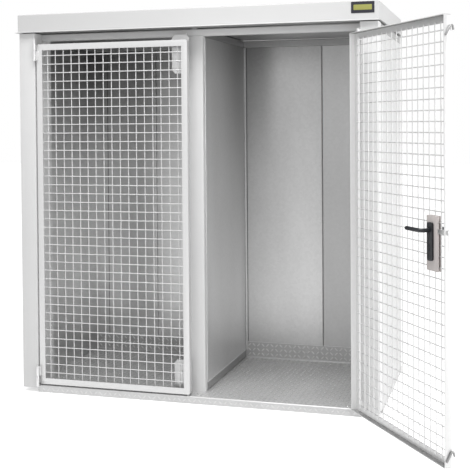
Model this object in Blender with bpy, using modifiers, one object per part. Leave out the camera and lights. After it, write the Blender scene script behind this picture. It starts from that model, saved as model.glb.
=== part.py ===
"""Two-bay gas cylinder container: folded galvanised sheet body, tread plate floor and two
mesh doors. Metres, +Z up. The origin is on the ground in the middle of the base; the doors
face -Y. The left door is shut and the right door stands open."""

import math

import bmesh
import bpy
from mathutils import Matrix, Vector

# Body
WIDTH = 2.100            # over the outer faces of the two front posts
DEPTH = 1.000            # front of the posts to the back of the rear wall
RAIL_TOP = 2.099         # top of the posts and of the head rails
CONTACT = 0.0003         # play left between pieces that touch
SHEET = 0.0015           # wall cassette sheet
FRAME_SHEET = 0.0025     # posts and rails
BEND = 0.006             # outer radius of a fold
BEND_STEPS = 3
CUT_PAST = 0.010         # a cutter runs this far past what it cuts

# Base and floor
FLOOR_TOP = 0.042
FLOOR_SHEET = 0.003
FLOOR_BEND = 0.010       # radius of its folds
UPSTAND = 0.105          # floor plate folded up along the rear wall
BASE_RAIL = 0.100        # width of the rails under the walls and of the floor bearer
POST_FOOT = 0.024        # the front posts stop this far above the ground

# Posts, walls and partition
POST_W = 0.100
POST_D = 0.100
STOP_W = 0.040           # door stop angle beside each front post
STOP_D = 0.032
DOOR_SETBACK = 0.090     # front of the posts to the front of lintel, stops and centre post
CENTRE_POST_W = 0.100
WALL = 0.050
HEAD_RAIL = 0.044        # height of the ring of rails over the walls
LINTEL_D = 0.044         # lintel and centre post, front to back
LINTEL_H = 0.039
PARTITION_BASE = 0.050
CORNER_STRIP = 0.014     # legs of the strip between the partition and the rear wall
BACK_SEAM = 0.562        # seam of the rear wall each side of the middle

# Roof
ROOF_HEIGHT = 0.104
ROOF_SHEET = 0.002
ROOF_OVERHANG = 0.004    # fascia beyond the posts at the two ends
ROOF_FRONT = 0.012       # fascia beyond the posts in front and behind
DRIP_LIP = 0.012
VENT_GAP = 0.005         # air gap between the head rails and the ceiling
SPACER = 0.034

# Doors
DOOR_FOOT = 0.0495       # underside of the door frame above the ground
FLANGE = 0.035           # both legs of the frame angle
ANGLE_T = 0.004
FRAME_CORNER = 0.009
PIVOT_GAP = 0.005        # hinge line to the door's edge
PIVOT_OUT = 0.018        # hinge line in front of the doors' front face
POST_TO_PIVOT = 0.006    # hinge line to the post's edge
RIGHT_DOOR_OPEN = 125.4  # degrees, as it stands

# Welded mesh
PITCH = 0.050
WIRE = 0.005
COLUMNS = 17
ROWS = 38
MARGIN_HINGE = 0.030     # frame's inner edge to the first wire, at the hinge
MARGIN_FREE = 0.0265
MARGIN_TOP = 0.0315
MARGIN_FOOT = 0.0335
WIRE_LAP = 0.008         # the wires' ends on the frame

# Hinges
BARREL_R = 0.009
PIN_R = 0.005
PIN_PLAY = 0.0005
KNUCKLE = 0.060
KNUCKLE_PLAY = 0.001
PIN_LENGTH = 0.040
HINGE_ABOVE = 0.025      # top hinge beyond the top of the door
HINGE_BELOW = 0.013      # bottom hinge beyond the foot of the door
WING = 0.014             # weld wing of a knuckle
WING_START = 0.001
WING_INSET = 0.002       # the wing stops this far from the knuckle's ends

# Edge bolts of the left door
BOLT_PLATE_W = 0.102
BOLT_PLATE_H = 0.186
BOLT_PLATE_T = 0.004
BOLT_PLATE_RISE = 0.032  # upper plate beyond the top of the door
BOLT_CHAMFER = 0.018
BOLT_R = 0.006
BOLT_INSET = 0.020       # bolt to the free edge of the door
BOLT_TIP = 0.005

# Lock and lever of the right door
LOCK_W = 0.0946
LOCK_H = 0.249
LOCK_BELOW = 0.183       # foot of the lock case below the lever's line
LOCK_INSET = 0.0783      # lock case to the free edge of the door
LOCK_DEPTH = 0.0072      # case behind the wires
LOCK_EDGE = 0.002
LOCK_PLATE_T = 0.003
ESCUTCHEON_W = 0.042
ESCUTCHEON_H = 0.172
ESCUTCHEON_BELOW = 0.137 # foot of the escutcheons below the lever's line
ESCUTCHEON_T = 0.010
ESCUTCHEON_R = 0.010
ESCUTCHEON_INSET = 0.1105
LEVER_HEIGHT = 1.082
LEVER_R = 0.0095
LEVER_OUT = 0.045
LEVER_LENGTH = 0.125
LEVER_ELBOW = 0.0152     # radius of the bend at the lever's root
SPINDLE_R = 0.004
SPINDLE_PLAY = 0.0006
LATCH_H = 0.020
LATCH_T = 0.0066
LATCH_OUT = 0.010
LATCH_PLAY = 0.0006

# Hooks on the free edge of the right door
HOOK_R = 0.005
HOOK_BEND = 0.006
HOOK_INSET = 0.005       # root to the back of the door
HOOK_RUN = 0.0325        # root to knee, towards the front
HOOK_RISE = 0.054
HOOK_TIP = 0.007
HOOK_DROP = 0.031
HOOK_FROM_FOOT = 0.0295
HOOK_FROM_TOP = 0.0935

# Worked out from the sizes above
FRONT = -DEPTH / 2
BACK = DEPTH / 2
SIDE = WIDTH / 2
WALL_FOOT = FLOOR_TOP - FLOOR_SHEET + CONTACT
WALL_TOP = RAIL_TOP - HEAD_RAIL - CONTACT
STOP_FRONT = FRONT + DOOR_SETBACK
LINTEL_FOOT = RAIL_TOP - LINTEL_H
DOOR_W = FLANGE * 2 + MARGIN_HINGE + MARGIN_FREE + PITCH * (COLUMNS - 1)
DOOR_H = FLANGE * 2 + MARGIN_TOP + MARGIN_FOOT + PITCH * (ROWS - 1)
DOOR_TOP = DOOR_FOOT + DOOR_H
PIVOT_X = SIDE - POST_W - POST_TO_PIVOT
PIVOT_Y = FRONT - PIVOT_OUT
FREE_EDGE = PIVOT_GAP + DOOR_W
FRONT_FACE = PIVOT_OUT
REAR_FACE = PIVOT_OUT + FLANGE
MESH_FRONT = PIVOT_OUT + ANGLE_T + CONTACT
MESH_MIDDLE = MESH_FRONT + WIRE + CONTACT
MESH_BACK = MESH_MIDDLE + WIRE + CONTACT
LOCK_BACK = MESH_BACK + LOCK_DEPTH
CEILING = RAIL_TOP + VENT_GAP + CONTACT
LOCK_FOOT = LEVER_HEIGHT - LOCK_BELOW
ESCUTCHEON_FOOT = LEVER_HEIGHT - ESCUTCHEON_BELOW


def new_material(name, colour, roughness, metallic):
    material = bpy.data.materials.new(name)
    material.use_nodes = True
    shader = material.node_tree.nodes["Principled BSDF"]
    shader.inputs["Base Color"].default_value = (*colour, 1.0)
    shader.inputs["Roughness"].default_value = roughness
    shader.inputs["Metallic"].default_value = metallic
    return material


def new_object(name, mesh, finish, collection, parent=None, at=(0.0, 0.0, 0.0)):
    piece = bpy.data.objects.new(name, mesh)
    collection.objects.link(piece)
    piece.location = at
    piece.parent = parent
    if finish:
        colour, roughness, metallic = finish
        piece.data.materials.append(new_material(name, colour, roughness, metallic))
    return piece


def mesh_from(name, builder):
    mesh = bpy.data.meshes.new(name)
    builder.to_mesh(mesh)
    builder.free()
    return mesh


def box_mesh(name, low, high):
    """A cube stretched between two corners, in either order along each axis."""
    low, high = Vector(low), Vector(high)
    size = Vector(abs(high[i] - low[i]) for i in range(3))
    builder = bmesh.new()
    bmesh.ops.create_cube(builder, size=1.0, matrix=Matrix.Diagonal((*size, 1.0)))
    bmesh.ops.translate(builder, verts=builder.verts, vec=(low + high) / 2)
    return mesh_from(name, builder)


def rounded(points, radius, closed):
    """The outline with each corner turned into an arc."""
    count = len(points)
    result = []
    for index, point in enumerate(points):
        corner = Vector(point)
        if not closed and index in (0, count - 1):
            result.append(corner)
            continue
        before = (Vector(points[index - 1]) - corner).normalized()
        after = (Vector(points[(index + 1) % count]) - corner).normalized()
        half = before.angle(after) / 2
        centre = corner + (before + after).normalized() * radius / math.sin(half)
        start = corner + before * radius / math.tan(half) - centre
        finish = corner + after * radius / math.tan(half) - centre
        turn = start.angle_signed(finish)
        for step in range(BEND_STEPS + 1):
            arm = start.copy()
            arm.rotate(Matrix.Rotation(-turn * step / BEND_STEPS, 2))
            result.append(centre + arm)
    return result


def placed(u, v, along, axis):
    """A point of a section and its place along X, Y or Z, as a point in space."""
    if axis == "X":
        return Vector((along, u, v))
    if axis == "Y":
        return Vector((v, along, u))
    return Vector((u, v, along))


def folded_sheet(name, outline, start, end, axis, closed, bend):
    """Sheet bent along an outline that runs anticlockwise round its solid side, and drawn out
    along an axis. The outline is (y, z) for X, (z, x) for Y and (x, y) for Z."""
    path = rounded(outline, bend, closed)
    builder = bmesh.new()
    near = [builder.verts.new(placed(*point, start, axis)) for point in path]
    far = [builder.verts.new(placed(*point, end, axis)) for point in path]
    last = len(path) if closed else len(path) - 1
    for index in range(last):
        after = (index + 1) % len(path)
        builder.faces.new((near[index], near[after], far[after], far[index]))
    return mesh_from(name, builder)


def add_sheet(name, outline, start, end, axis, thickness, finish, closed=False, bend=BEND):
    mesh = folded_sheet(name, outline, start, end, axis, closed, bend)
    piece = new_object(name, mesh, finish, PARTS)
    solid = piece.modifiers.new("Sheet", "SOLIDIFY")
    solid.thickness = thickness
    solid.offset = -1.0
    solid.use_even_offset = True
    return piece


def add_tube(name, low, high, axis, thickness, finish):
    """A box section of folded sheet between two corners, open at both ends."""
    low, high = Vector(low), Vector(high)
    u, v, along = {"X": (1, 2, 0), "Y": (2, 0, 1), "Z": (0, 1, 2)}[axis]
    outline = ((low[u], low[v]), (high[u], low[v]), (high[u], high[v]), (low[u], high[v]))
    return add_sheet(name, outline, low[along], high[along], axis, thickness, finish, closed=True)


def flat_outline(name, loops, thickness):
    """A flat plate in the X-Z plane with its front at y = 0, from an outline and its holes."""
    curve = bpy.data.curves.new(name, "CURVE")
    curve.dimensions = "2D"
    curve.fill_mode = "BOTH"
    curve.extrude = thickness / 2
    for loop in loops:
        spline = curve.splines.new("POLY")
        spline.points.add(len(loop) - 1)
        spline.use_cyclic_u = True
        for point, (x, z) in zip(spline.points, loop):
            point.co = (x, z, 0.0, 1.0)
    mesh = curve_to_mesh(name, curve)
    mesh.transform(Matrix.Translation((0.0, thickness / 2, 0.0)) @ Matrix.Rotation(math.pi / 2, 4, "X"))
    return mesh


def curve_to_mesh(name, curve):
    """The evaluated curve as a mesh, its caps welded on."""
    guide = bpy.data.objects.new(name + "_guide", curve)
    bpy.context.scene.collection.objects.link(guide)
    evaluated = guide.evaluated_get(bpy.context.evaluated_depsgraph_get())
    mesh = bpy.data.meshes.new_from_object(evaluated)
    bpy.data.objects.remove(guide)
    bpy.data.curves.remove(curve)
    builder = bmesh.new()
    builder.from_mesh(mesh)
    bmesh.ops.remove_doubles(builder, verts=builder.verts, dist=0.00001)
    builder.to_mesh(mesh)
    builder.free()
    return mesh


def rod_mesh(name, points, radius):
    """A round bar along straight runs between points, with flat ends."""
    curve = bpy.data.curves.new(name, "CURVE")
    curve.dimensions = "3D"
    curve.bevel_depth = radius
    curve.bevel_resolution = 3
    curve.use_fill_caps = True
    spline = curve.splines.new("POLY")
    spline.points.add(len(points) - 1)
    for point, place in zip(spline.points, points):
        point.co = (*place, 1.0)
    mesh = curve_to_mesh(name, curve)
    mesh.shade_smooth()
    mesh.set_sharp_from_angle(angle=math.radians(40))
    return mesh


def cylinder_mesh(name, start, end, radius, sides=24):
    """A cylinder from one point to another."""
    start, end = Vector(start), Vector(end)
    run = end - start
    builder = bmesh.new()
    turn = run.to_track_quat("Z", "Y").to_matrix().to_4x4()
    place = Matrix.Translation((start + end) / 2) @ turn
    bmesh.ops.create_cone(builder, cap_ends=True, segments=sides, radius1=radius, radius2=radius,
                          depth=run.length, matrix=place)
    return mesh_from(name, builder)


def combine(piece, name, mesh, operation, at=(0.0, 0.0, 0.0)):
    """Cut a shape out of a piece, or weld one to it."""
    tool = new_object(name, mesh, None, CUTTERS, piece.parent, at)
    tool.hide_render = True
    tool.display_type = "WIRE"
    boolean = piece.modifiers.new(name, "BOOLEAN")
    boolean.operation = operation
    boolean.object = tool
    return tool


def cut(piece, name, mesh, at=(0.0, 0.0, 0.0)):
    return combine(piece, name, mesh, "DIFFERENCE", at)


def weld(piece, name, mesh, at=(0.0, 0.0, 0.0)):
    return combine(piece, name, mesh, "UNION", at)


GALVANISED = ((0.60, 0.61, 0.62), 0.42, 0.75)
PAINTED = ((0.70, 0.71, 0.71), 0.50, 0.25)
TREAD = ((0.55, 0.56, 0.57), 0.38, 0.85)
ZINC = ((0.78, 0.79, 0.80), 0.35, 0.80)
LOCK_GREY = ((0.46, 0.42, 0.42), 0.50, 0.30)
BLACK = ((0.012, 0.013, 0.016), 0.45, 0.0)


def make_base():
    """Rails under the three walls, a bearer under the partition, and the tread plate floor."""
    rail_top = FLOOR_TOP - FLOOR_SHEET - CONTACT
    inner = SIDE - BASE_RAIL
    behind_posts = FRONT + POST_D + CONTACT
    for name, side in (("base_rail_left", -1), ("base_rail_right", 1)):
        edges = sorted((side * inner, side * SIDE))
        add_tube(name, (edges[0], behind_posts, 0.0), (edges[1], BACK - BASE_RAIL - CONTACT, rail_top),
                 "Y", FRAME_SHEET, GALVANISED)
    add_tube("base_rail_back", (-SIDE, BACK - BASE_RAIL, 0.0), (SIDE, BACK, rail_top),
             "X", FRAME_SHEET, GALVANISED)
    lip_back = FRONT + FLOOR_BEND + CONTACT
    add_tube("floor_bearer", (-BASE_RAIL / 2, lip_back, 0.0),
             (BASE_RAIL / 2, BACK - BASE_RAIL - CONTACT, rail_top), "Y", FRAME_SHEET, GALVANISED)

    half = SIDE - WALL - CONTACT
    rear = BACK - WALL - CONTACT
    outline = ((FRONT, 0.0), (FRONT, FLOOR_TOP), (rear - FLOOR_SHEET, FLOOR_TOP),
               (rear - FLOOR_SHEET, FLOOR_TOP + UPSTAND))
    floor = add_sheet("floor_plate", outline[::-1], -half, half, "X", FLOOR_SHEET, TREAD, bend=FLOOR_BEND)
    for name, side in (("post_notch_left", -1), ("post_notch_right", 1)):
        notch = box_mesh(name, (side * (SIDE - POST_W - CONTACT), FRONT - CUT_PAST, -CUT_PAST),
                         (side * (SIDE + CUT_PAST), FRONT + POST_D + CONTACT, FLOOR_TOP + CUT_PAST))
        cut(floor, name, notch)


def make_posts():
    """Box section front posts, the door stops beside them, the centre post and the lintel."""
    for name, side in (("post_front_left", -1), ("post_front_right", 1)):
        edges = sorted((side * (SIDE - POST_W), side * SIDE))
        add_tube(name, (edges[0], FRONT, POST_FOOT), (edges[1], FRONT + POST_D, RAIL_TOP),
                 "Z", FRAME_SHEET, PAINTED)
    add_tube("post_centre", (-CENTRE_POST_W / 2, STOP_FRONT, FLOOR_TOP + CONTACT),
             (CENTRE_POST_W / 2, STOP_FRONT + LINTEL_D, LINTEL_FOOT - CONTACT),
             "Z", FRAME_SHEET, PAINTED)
    add_tube("lintel", (-SIDE + POST_W + CONTACT, STOP_FRONT, LINTEL_FOOT),
             (SIDE - POST_W - CONTACT, STOP_FRONT + LINTEL_D, RAIL_TOP), "X", FRAME_SHEET, PAINTED)

    at_post = SIDE - POST_W - CONTACT
    stop_edge = at_post - STOP_W
    stop_back = STOP_FRONT + STOP_D
    left = ((-at_post, STOP_FRONT), (-stop_edge, STOP_FRONT), (-stop_edge, stop_back))
    right = ((stop_edge, stop_back), (stop_edge, STOP_FRONT), (at_post, STOP_FRONT))
    for name, outline in (("door_stop_left", left), ("door_stop_right", right)):
        add_sheet(name, outline, FLOOR_TOP + CONTACT, LINTEL_FOOT - CONTACT, "Z", FRAME_SHEET, PAINTED)


def make_walls():
    """Wall cassettes side by side, the partition on its base, and the ring of head rails."""
    seams = (-SIDE, -BACK_SEAM, 0.0, BACK_SEAM, SIDE)
    names = ("back_panel_left", "back_panel_mid_left", "back_panel_mid_right", "back_panel_right")
    for name, left, right in zip(names, seams, seams[1:]):
        add_tube(name, (left + CONTACT, BACK - WALL, WALL_FOOT), (right - CONTACT, BACK, WALL_TOP),
                 "Z", SHEET, GALVANISED)
    behind_posts = FRONT + POST_D + CONTACT
    before_wall = BACK - WALL - CONTACT
    for name, side in (("side_panel_left", -1), ("side_panel_right", 1)):
        edges = sorted((side * (SIDE - WALL), side * SIDE))
        add_tube(name, (edges[0], behind_posts, WALL_FOOT), (edges[1], before_wall, WALL_TOP),
                 "Z", SHEET, GALVANISED)

    start = STOP_FRONT + LINTEL_D + CONTACT
    end = before_wall - FLOOR_SHEET - CONTACT
    half = CENTRE_POST_W / 2
    base_top = FLOOR_TOP + PARTITION_BASE
    add_tube("partition_base", (-half, start, FLOOR_TOP + CONTACT), (half, end - FLOOR_BEND, base_top),
             "Y", FRAME_SHEET, GALVANISED)
    add_tube("partition", (-half, start, base_top + CONTACT), (half, end, WALL_TOP), "Z", SHEET, GALVANISED)
    face = half + CONTACT
    right = ((face + CORNER_STRIP, end), (face, end), (face, end - CORNER_STRIP))
    left = ((-face, end - CORNER_STRIP), (-face, end), (-face - CORNER_STRIP, end))
    for name, outline in (("corner_strip_left", left), ("corner_strip_right", right)):
        add_sheet(name, outline, base_top + CONTACT, WALL_TOP, "Z", SHEET, GALVANISED)

    foot = RAIL_TOP - HEAD_RAIL
    add_tube("head_rail_back", (-SIDE, BACK - WALL, foot), (SIDE, BACK, RAIL_TOP),
             "X", FRAME_SHEET, GALVANISED)
    for name, side in (("head_rail_left", -1), ("head_rail_right", 1)):
        edges = sorted((side * (SIDE - WALL), side * SIDE))
        add_tube(name, (edges[0], behind_posts, foot), (edges[1], before_wall, RAIL_TOP),
                 "Y", FRAME_SHEET, GALVANISED)
    add_tube("head_rail_centre", (-half, start, foot),
             (half, before_wall, RAIL_TOP), "Y", FRAME_SHEET, GALVANISED)


def make_roof():
    """A folded pan with a drip lip, and inside it the ceiling sheet on its spacers."""
    half_x = SIDE + ROOF_OVERHANG
    half_y = DEPTH / 2 + ROOF_FRONT
    top = CEILING + ROOF_HEIGHT
    builder = bmesh.new()
    bmesh.ops.create_cube(builder, size=1.0,
                          matrix=Matrix.Diagonal((half_x * 2, half_y * 2, ROOF_HEIGHT, 1.0)))
    bmesh.ops.translate(builder, verts=builder.verts, vec=(0.0, 0.0, top - ROOF_HEIGHT / 2))
    under = [face for face in builder.faces if face.normal.z < -0.5]
    bmesh.ops.delete(builder, geom=under, context="FACES_ONLY")
    rim = [edge for edge in builder.edges if edge.is_boundary]
    lip = bmesh.ops.extrude_edge_only(builder, edges=rim)["geom"]
    for vert in (item for item in lip if isinstance(item, bmesh.types.BMVert)):
        vert.co.x += math.copysign(DRIP_LIP, vert.co.x)
        vert.co.y += math.copysign(DRIP_LIP, vert.co.y)
    bmesh.ops.recalc_face_normals(builder, faces=builder.faces)
    roof = new_object("roof_pan", mesh_from("roof_pan", builder), PAINTED, PARTS)
    folds = roof.modifiers.new("Folds", "BEVEL")
    folds.width = BEND
    folds.segments = 2
    folds.limit_method = "ANGLE"
    sheet = roof.modifiers.new("Sheet", "SOLIDIFY")
    sheet.thickness = ROOF_SHEET
    sheet.offset = -1.0
    sheet.use_even_offset = True

    inside_x = half_x - ROOF_SHEET - CONTACT
    inside_y = half_y - ROOF_SHEET - CONTACT
    ceiling = new_object("ceiling", box_mesh("ceiling", (-inside_x, -inside_y, CEILING),
                                             (inside_x, inside_y, CEILING + ROOF_SHEET)), GALVANISED, PARTS)
    spacer_foot = RAIL_TOP + CONTACT
    post_middle = FRONT + POST_D / 2
    wall_middle = BACK - WALL / 2
    for row, y in enumerate((post_middle, wall_middle)):
        for column, x in enumerate((-SIDE + WALL / 2, 0.0, SIDE - WALL / 2)):
            if y < 0 and column == 1:
                y = STOP_FRONT + LINTEL_D / 2
            pad = box_mesh("spacer", (x - SPACER / 2, y - SPACER / 2, spacer_foot),
                           (x + SPACER / 2, y + SPACER / 2, CEILING + ROOF_SHEET / 2))
            weld(ceiling, f"spacer_{row}_{column}", pad)


def mesh_loops(side, along_rows):
    """Outline and holes of one layer of the welded mesh. The layer of the rows holds every
    inner row and the two outer columns; the layer of the columns holds the rest."""
    first = PIVOT_GAP + FLANGE + MARGIN_HINGE
    foot = DOOR_FOOT + FLANGE + MARGIN_FOOT
    columns = [first + PITCH * index for index in range(COLUMNS)]
    rows = [foot + PITCH * index for index in range(ROWS)]
    half = WIRE / 2
    if along_rows:
        bars, ties = rows[1:-1], (columns[0], columns[-1])
        ends = (PIVOT_GAP + FLANGE - WIRE_LAP, FREE_EDGE - FLANGE + WIRE_LAP)
        tie_ends = (DOOR_FOOT + FLANGE - WIRE_LAP, DOOR_TOP - FLANGE + WIRE_LAP)
    else:
        bars, ties = columns[1:-1], (rows[0], rows[-1])
        ends = (DOOR_FOOT + FLANGE - WIRE_LAP, DOOR_TOP - FLANGE + WIRE_LAP)
        tie_ends = (PIVOT_GAP + FLANGE - WIRE_LAP, FREE_EDGE - FLANGE + WIRE_LAP)

    outline = [(ties[0] - half, tie_ends[0])]
    outline.append((ties[0] + half, tie_ends[0]))
    outline.append((ties[0] + half, bars[0] - half))
    outline.append((ties[1] - half, bars[0] - half))
    outline.append((ties[1] - half, tie_ends[0]))
    outline.append((ties[1] + half, tie_ends[0]))
    for bar in bars:
        outline += [(ties[1] + half, bar - half), (ends[1], bar - half),
                    (ends[1], bar + half), (ties[1] + half, bar + half)]
    outline.append((ties[1] + half, tie_ends[1]))
    outline.append((ties[1] - half, tie_ends[1]))
    outline.append((ties[1] - half, bars[-1] + half))
    outline.append((ties[0] + half, bars[-1] + half))
    outline.append((ties[0] + half, tie_ends[1]))
    outline.append((ties[0] - half, tie_ends[1]))
    for bar in reversed(bars):
        outline += [(ties[0] - half, bar + half), (ends[0], bar + half),
                    (ends[0], bar - half), (ties[0] - half, bar - half)]
    loops = [outline]
    for low, high in zip(bars, bars[1:]):
        loops.append([(ties[0] + half, low + half), (ties[1] - half, low + half),
                      (ties[1] - half, high - half), (ties[0] + half, high - half)])
    if not along_rows:
        loops = [[(z, x) for x, z in loop] for loop in loops]
    return [[(-side * x, z) for x, z in loop] for loop in loops]


def make_door(name, side, hinge):
    """Angle frame with the mesh welded inside it. side is -1 for the left door, 1 for the
    right; distances run from the hinge line to the free edge, and y runs into the container."""
    inward = -side
    frame_mesh = box_mesh(name + "_frame", (inward * PIVOT_GAP, FRONT_FACE, DOOR_FOOT),
                          (inward * FREE_EDGE, REAR_FACE, DOOR_TOP))
    builder = bmesh.new()
    builder.from_mesh(frame_mesh)
    corners = [edge for edge in builder.edges
               if abs(edge.verts[0].co.y - edge.verts[1].co.y) > FLANGE / 2]
    bmesh.ops.bevel(builder, geom=corners, offset=FRAME_CORNER, segments=3, affect="EDGES", profile=0.5)
    builder.to_mesh(frame_mesh)
    builder.free()
    frame = new_object(name + "_frame", frame_mesh, PAINTED, PARTS, hinge)
    window = box_mesh(name + "_window",
                      (inward * (PIVOT_GAP + FLANGE), FRONT_FACE - CUT_PAST, DOOR_FOOT + FLANGE),
                      (inward * (FREE_EDGE - FLANGE), REAR_FACE + CUT_PAST, DOOR_TOP - FLANGE))
    cut(frame, name + "_window", window)
    pocket = box_mesh(name + "_pocket",
                      (inward * (PIVOT_GAP + ANGLE_T), FRONT_FACE + ANGLE_T, DOOR_FOOT + ANGLE_T),
                      (inward * (FREE_EDGE - ANGLE_T), REAR_FACE + CUT_PAST, DOOR_TOP - ANGLE_T))
    cut(frame, name + "_pocket", pocket)

    rows = flat_outline(name + "_mesh_rows", mesh_loops(side, True), WIRE)
    new_object(name + "_mesh_rows", rows, ZINC, PARTS, hinge, (0.0, MESH_FRONT, 0.0))
    columns = flat_outline(name + "_mesh_columns", mesh_loops(side, False), WIRE)
    new_object(name + "_mesh_columns", columns, ZINC, PARTS, hinge, (0.0, MESH_MIDDLE, 0.0))
    return frame


def turned(name, profile, finish, parent, at):
    """A profile of (radius, height) points, from the top down, turned about the hinge line."""
    mesh = bpy.data.meshes.new(name)
    points = [(radius, 0.0, height) for radius, height in profile]
    edges = [(index, index + 1) for index in range(len(points) - 1)]
    if profile[0][0] > 0:
        edges.append((len(points) - 1, 0))
    mesh.from_pydata(points, edges, [])
    piece = new_object(name, mesh, finish, PARTS, parent, at)
    screw = piece.modifiers.new("Turn", "SCREW")
    screw.steps = 24
    screw.render_steps = 24
    screw.use_merge_vertices = True
    screw.merge_threshold = 0.00001
    return piece


def make_hinges(name, side, hinge):
    """Lift-off barrels: the post's knuckle carries the pin, the door's knuckle turns on it."""
    top = DOOR_TOP + HINGE_ABOVE
    foot = DOOR_FOOT - HINGE_BELOW
    post_x = side * PIVOT_X
    inward = -side
    for level, post_low, door_low, pin_down in (
            ("upper", top - KNUCKLE, top - KNUCKLE * 2 - KNUCKLE_PLAY, True),
            ("lower", foot, foot + KNUCKLE + KNUCKLE_PLAY, False)):
        post_high = post_low + KNUCKLE
        if pin_down:
            profile = [(0.0, post_high), (BARREL_R, post_high), (BARREL_R, post_low),
                       (PIN_R, post_low), (PIN_R, post_low - PIN_LENGTH), (0.0, post_low - PIN_LENGTH)]
        else:
            profile = [(0.0, post_high + PIN_LENGTH), (PIN_R, post_high + PIN_LENGTH),
                       (PIN_R, post_high), (BARREL_R, post_high), (BARREL_R, post_low), (0.0, post_low)]
        fixed = turned(f"{name}_{level}_hinge_pin", profile, ZINC, None, (post_x, PIVOT_Y, 0.0))
        wing = box_mesh("post_wing", (side * WING, BARREL_R / 2, post_low + WING_INSET),
                        (0.0, PIVOT_OUT - CONTACT, post_high - WING_INSET))
        weld(fixed, f"{name}_{level}_post_wing", wing, (post_x, PIVOT_Y, 0.0))

        door_high = door_low + KNUCKLE
        bore_r = PIN_R + PIN_PLAY
        profile = [(BARREL_R, door_high), (BARREL_R, door_low), (bore_r, door_low), (bore_r, door_high)]
        moving = turned(f"{name}_{level}_knuckle", profile, ZINC, hinge, (0.0, 0.0, 0.0))
        wing = box_mesh("door_wing", (inward * WING, (BARREL_R + bore_r) / 2, door_low + WING_INSET),
                        (inward * WING_START, FRONT_FACE - CONTACT, door_high - WING_INSET))
        weld(moving, f"{name}_{level}_door_wing", wing)


def make_edge_bolts(hinge):
    """Plates behind the free edge of the left door, each with the bolt that it guides."""
    plate_y = REAR_FACE + CONTACT
    outer = FREE_EDGE
    inner = FREE_EDGE - BOLT_PLATE_W
    bolt_x = FREE_EDGE - BOLT_INSET
    bolt_y = plate_y + BOLT_PLATE_T + BOLT_R / 2
    for name, low, high, tip in (
            ("left_door_upper_bolt", DOOR_TOP - BOLT_PLATE_H, DOOR_TOP + BOLT_PLATE_RISE, BOLT_TIP),
            ("left_door_lower_bolt", DOOR_FOOT, DOOR_FOOT + BOLT_PLATE_H, -BOLT_TIP)):
        outline = [(inner + BOLT_CHAMFER, low), (outer - BOLT_CHAMFER, low), (outer, low + BOLT_CHAMFER),
                   (outer, high - BOLT_CHAMFER), (outer - BOLT_CHAMFER, high),
                   (inner + BOLT_CHAMFER, high), (inner, high - BOLT_CHAMFER), (inner, low + BOLT_CHAMFER)]
        plate = new_object(name, flat_outline(name, [outline], BOLT_PLATE_T), PAINTED, PARTS, hinge,
                           (0.0, plate_y, 0.0))
        start = low + BOLT_CHAMFER if tip > 0 else low + tip
        end = high + tip if tip > 0 else high - BOLT_CHAMFER
        bolt = cylinder_mesh(name + "_rod", (bolt_x, bolt_y - plate_y, start),
                             (bolt_x, bolt_y - plate_y, end), BOLT_R)
        weld(plate, name + "_rod", bolt, (0.0, plate_y, 0.0))


def rounded_plate(name, low, high, radius, thickness):
    """A plate in the X-Z plane with rounded corners."""
    outline = ((low[0], low[1]), (high[0], low[1]), (high[0], high[1]), (low[0], high[1]))
    loop = [tuple(point) for point in rounded(outline, radius, True)]
    return flat_outline(name, [loop], thickness)


def make_lock(frame, hinge):
    """Lock case inside the mesh, plate outside, escutcheons, latch bolt and the lever pair."""
    outer = -(FREE_EDGE - LOCK_INSET)
    inner = outer + LOCK_W
    case = new_object("lock_case", box_mesh("lock_case", (outer, MESH_BACK, LOCK_FOOT),
                                            (inner, LOCK_BACK, LOCK_FOOT + LOCK_H)), LOCK_GREY, PARTS, hinge)
    edge = case.modifiers.new("Edges", "BEVEL")
    edge.width = LOCK_EDGE
    edge.segments = 2
    plate_y = MESH_FRONT - CONTACT - LOCK_PLATE_T
    plate = new_object("lock_plate_outside",
                       rounded_plate("lock_plate_outside", (outer, LOCK_FOOT), (inner, LOCK_FOOT + LOCK_H),
                                     BEND, LOCK_PLATE_T), LOCK_GREY, PARTS, hinge, (0.0, plate_y, 0.0))

    left = -(FREE_EDGE - ESCUTCHEON_INSET)
    low = (left, ESCUTCHEON_FOOT)
    high = (left + ESCUTCHEON_W, ESCUTCHEON_FOOT + ESCUTCHEON_H)
    inside_y = LOCK_BACK + CONTACT
    outside_y = plate_y - CONTACT - ESCUTCHEON_T
    escutcheons = []
    for name, y in (("escutcheon_inside", inside_y), ("escutcheon_outside", outside_y)):
        mesh = rounded_plate(name, low, high, ESCUTCHEON_R, ESCUTCHEON_T)
        escutcheons.append(new_object(name, mesh, BLACK, PARTS, hinge, (0.0, y, 0.0)))
    spindle_x = left + ESCUTCHEON_W / 2
    reach = (outside_y - CUT_PAST, inside_y + ESCUTCHEON_T + CUT_PAST)
    for piece in (case, plate, *escutcheons):
        bore = cylinder_mesh("bore", (spindle_x, reach[0], LEVER_HEIGHT), (spindle_x, reach[1], LEVER_HEIGHT),
                             SPINDLE_R + SPINDLE_PLAY)
        cut(piece, piece.name + "_bore", bore)

    latch_middle = (MESH_BACK + LOCK_BACK) / 2
    latch_low = (-(FREE_EDGE + LATCH_OUT), latch_middle - LATCH_T / 2, LEVER_HEIGHT - LATCH_H / 2)
    latch_high = (outer - CONTACT, latch_middle + LATCH_T / 2, LEVER_HEIGHT + LATCH_H / 2)
    new_object("latch_bolt", box_mesh("latch_bolt", latch_low, latch_high), ZINC, PARTS, hinge)
    play = Vector((0.0, LATCH_PLAY, LATCH_PLAY))
    slot_low = Vector((-(FREE_EDGE + LATCH_OUT), *latch_low[1:])) - play
    slot_high = Vector((-(FREE_EDGE - FLANGE / 2), *latch_high[1:])) + play
    cut(frame, "latch_slot", box_mesh("latch_slot", slot_low, slot_high))
    return spindle_x, outside_y, inside_y + ESCUTCHEON_T


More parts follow.
